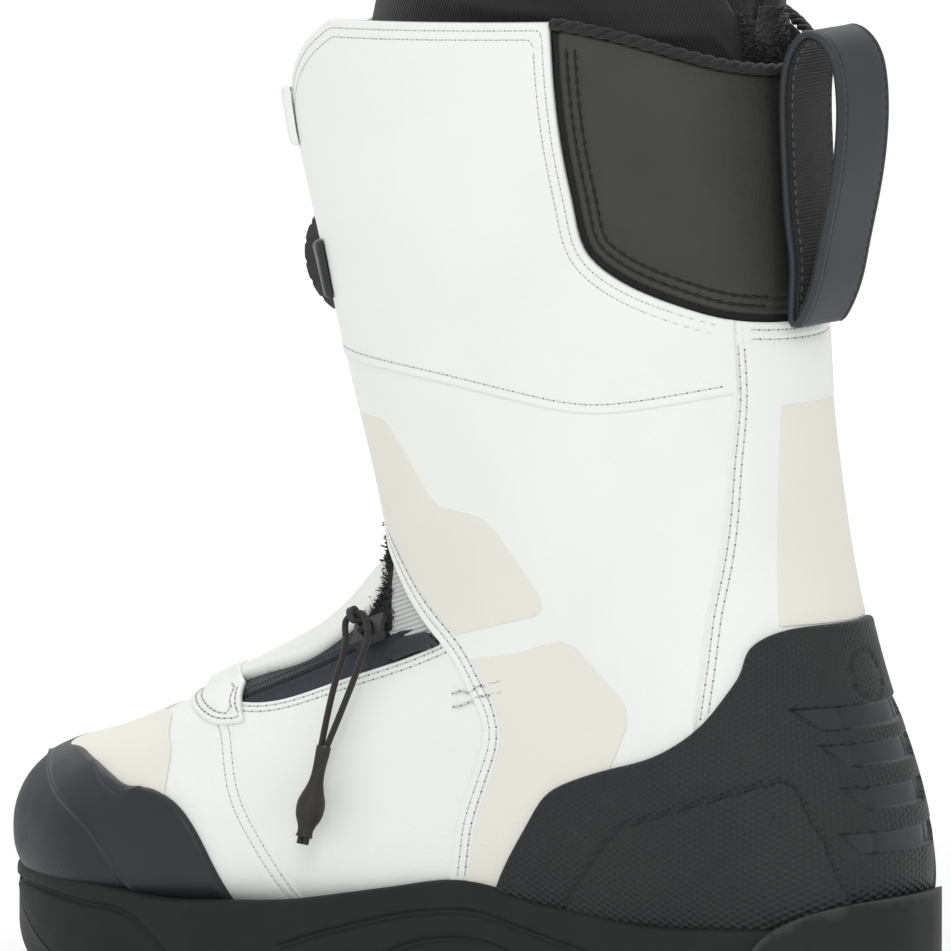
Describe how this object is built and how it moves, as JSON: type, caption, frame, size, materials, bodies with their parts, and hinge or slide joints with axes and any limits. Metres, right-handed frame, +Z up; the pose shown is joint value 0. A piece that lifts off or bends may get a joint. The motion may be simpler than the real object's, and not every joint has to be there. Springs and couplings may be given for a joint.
{
  "type": "snowboard boot",
  "caption": "Mid-height right snowboard boot: white coated shell, black rubber toe cap and heel shell, lugged sole, side zipper with cord puller, front lacing dials, removable liner.",
  "frame": {"origin": "centre of the boot's bounding box in X and Y, on the ground under the sole", "axes": "+X to the toe, +Y to the medial side of this right boot, +Z up the shaft"},
  "size_m": [0.2819, 0.1112, 0.302],
  "materials": {
    "white_upper": "coated fabric, smooth matt",
    "offwhite_overlay": "coated fabric, smooth matt",
    "white_padded": "padded coated fabric, matt",
    "black_rubber": "moulded, fine diamond texture",
    "sole_rubber": "moulded, matt",
    "midsole_foam": "moulded foam, matt skin",
    "collar_fabric": "soft coated fabric, satin",
    "binding_fabric": "twisted cord edge",
    "strap_coated": "coated strap, satin",
    "webbing_black": "ribbed webbing",
    "tongue_fabric": "woven nylon",
    "gusset_white": "ribbed stretch fabric",
    "zipper_tape": "woven tape, coated",
    "zipper_metal": "black, satin",
    "puller_cord": "braided",
    "puller_sleeve": "moulded, matt",
    "dial_plastic": "fine texture",
    "dial_grip": "overmoulded grip",
    "dial_inner": "moulded",
    "steel": "bright",
    "lace_cable": "coated steel cable",
    "liner_fabric": "twill over foam",
    "fleece": "short pile",
    "shank_plastic": "moulded",
    "gel": "soft gel",
    "board_fibre": "pressed fibre",
    "footbed_foam": "foam with fabric top"
  },
  "bodies": {
    "boot": {"outsole": "sole_rubber", "midsole": "midsole_foam", "heel_bumper": "sole_rubber", "shank": "shank_plastic", "heel_shock_pad": "gel", "lasting_board": "board_fibre", "toe_cap": "black_rubber", "heel_counter": "black_rubber", "vamp_panel": "white_upper", "forefoot_side_medial": "white_upper", "forefoot_side_lateral": "white_upper", "quarter_medial": "white_upper", "quarter_lateral": "white_upper", "cuff_medial": "white_upper", "cuff_lateral": "white_upper", "backstay": "white_upper", "overlay_toe": "offwhite_overlay", "overlay_upper_medial": "offwhite_overlay", "overlay_upper_lateral": "offwhite_overlay", "overlay_lower_medial": "offwhite_overlay", "overlay_lower_lateral": "offwhite_overlay", "overlay_back": "offwhite_overlay", "collar_panel": "collar_fabric", "collar_binding": "binding_fabric", "pull_loop": "strap_coated", "pull_loop_webbing": "webbing_black", "shell_tongue": "tongue_fabric", "throat_gusset": "gusset_white", "instep_shroud": "white_padded", "zipper_end_tab": "white_upper", "zipper_end_strap": "zipper_tape", "zipper_stringer_lower": "zipper_tape", "zipper_stringer_upper": "zipper_tape", "liner_boot": "liner_fabric", "liner_cuff": "liner_fabric", "liner_tongue": "liner_fabric", "liner_fleece": "fleece", "footbed": "footbed_foam", "dial_base_lower": "dial_plastic", "dial_screw_lower": "steel", "lace_lower": "lace_cable", "lace_guide_lower": "dial_plastic", "dial_base_upper": "dial_plastic", "dial_screw_upper": "steel", "lace_upper": "lace_cable", "lace_guide_upper": "dial_plastic"},
    "slider": {"zipper_slider": "zipper_metal"},
    "pull_tab": {"zipper_pull_tab": "zipper_metal"},
    "puller": {"puller_cord_front": "puller_cord", "puller_cord_rear": "puller_cord", "puller_sleeve": "puller_sleeve"},
    "drive_lower": {"dial_pawl_disc_lower": "dial_inner", "dial_spool_lower": "dial_inner"},
    "knob_lower": {"dial_knob_lower": "dial_plastic", "dial_grip_lower": "dial_grip"},
    "drive_upper": {"dial_pawl_disc_upper": "dial_inner", "dial_spool_upper": "dial_inner"},
    "knob_upper": {"dial_knob_upper": "dial_plastic", "dial_grip_upper": "dial_grip"}
  },
  "joints": [
    {"name": "zip_slide", "type": "slide", "parent": "boot", "child": "slider", "axis": [0.9204, 0.0329, -0.3895], "range_m": [0, 0.034]},
    {"name": "pull_tab_swing", "type": "hinge", "parent": "slider", "child": "pull_tab", "pos_m": [0.01484, 0.03482, 0.11178], "axis": [0.2932, -0.7173, 0.6321], "range_deg": [0, 40]},
    {"name": "puller_swing", "type": "hinge", "parent": "pull_tab", "child": "puller", "pos_m": [0.01593, 0.03774, 0.1146], "axis": [0.9204, 0.0329, -0.3895], "range_deg": [0, 70]},
    {"name": "dial_turn_lower", "type": "hinge", "parent": "boot", "child": "drive_lower", "pos_m": [0.03966, -0.01183, 0.20799], "axis": [0.9217, -0.3079, -0.2358], "continuous": true},
    {"name": "knob_pull_lower", "type": "slide", "parent": "drive_lower", "child": "knob_lower", "axis": [0.9217, -0.3079, -0.2358], "range_m": [0, 0.0022]},
    {"name": "dial_turn_upper", "type": "hinge", "parent": "boot", "child": "drive_upper", "pos_m": [0.04517, -0.02147, 0.2486], "axis": [0.8529, -0.4951, -0.1656], "continuous": true},
    {"name": "knob_pull_upper", "type": "slide", "parent": "drive_upper", "child": "knob_upper", "axis": [0.8529, -0.4951, -0.1656], "range_m": [0, 0.0022]}
  ]
}
